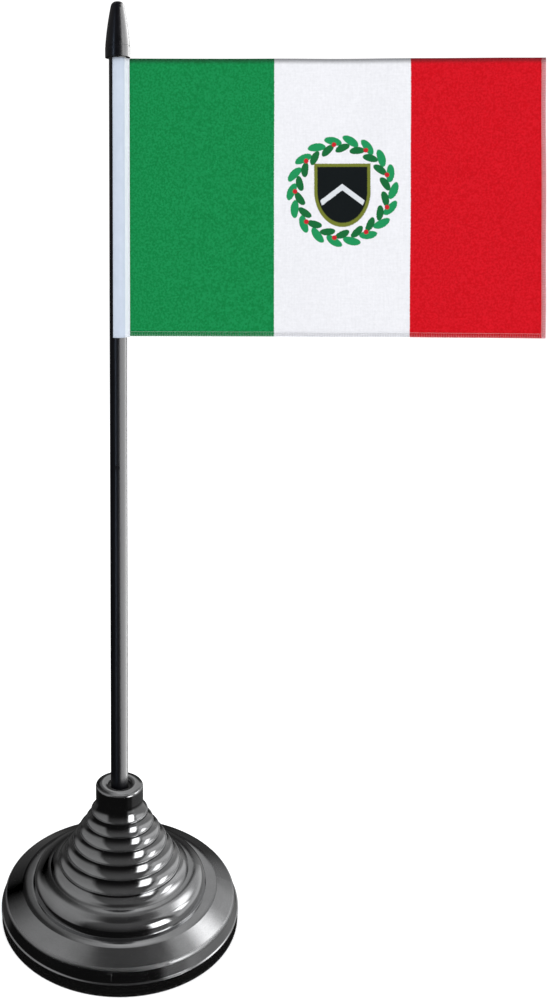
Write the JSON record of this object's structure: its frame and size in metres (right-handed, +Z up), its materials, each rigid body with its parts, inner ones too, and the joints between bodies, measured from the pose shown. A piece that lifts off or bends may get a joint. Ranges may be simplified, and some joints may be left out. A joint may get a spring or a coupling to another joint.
{
  "type": "desk flag stand",
  "caption": "Small cloth flag on a slim upright pole with a bullet finial, standing in the socket of a stepped round weighted base for a desk.",
  "frame": {"origin": "on the pole's axis, in the face of the foot pad that rests on the desk", "axes": "+Z up the pole, the flag flies towards +X, its front faces -Y"},
  "size_m": [0.1964, 0.0854, 0.3284],
  "materials": {
    "dark_chrome": "dark metallised plating on moulded plastic, polished",
    "black_plastic": "moulded, semi-gloss",
    "pad_foam": "fine closed-cell foam",
    "ballast_iron": "as cast, lightly oiled",
    "screw_steel": "zinc plated",
    "bush_plastic": "moulded, matt",
    "pole_plastic": "extruded tube, gloss",
    "finial_plastic": "moulded, gloss",
    "margin_cloth": "plain white woven polyester",
    "flag_cloth": "woven polyester, printed in green, white and red bands",
    "seam_thread": "twisted sewing thread"
  },
  "bodies": {
    "base": {"base_shell": "dark_chrome", "bottom_cover": "black_plastic", "foot_pad": "pad_foam", "ballast_disc": "ballast_iron", "cover_screws": "screw_steel"},
    "bush": {"socket_bush": "bush_plastic"},
    "pole": {"pole": "pole_plastic", "hoist_margin": "margin_cloth", "fly_cloth": "flag_cloth", "hoist_seam": "seam_thread"},
    "finial": {"finial": "finial_plastic"}
  },
  "joints": [
    {"name": "pole_turn", "type": "hinge", "parent": "base", "child": "bush", "pos_m": [0, 0, 0.035], "axis": [0, 0, 1], "continuous": true},
    {"name": "pole_lift", "type": "slide", "parent": "bush", "child": "pole", "axis": [0, 0, 1], "range_m": [0, 0.02]},
    {"name": "finial_pull", "type": "slide", "parent": "pole", "child": "finial", "axis": [0, 0, 1], "range_m": [0, 0.01]}
  ]
}
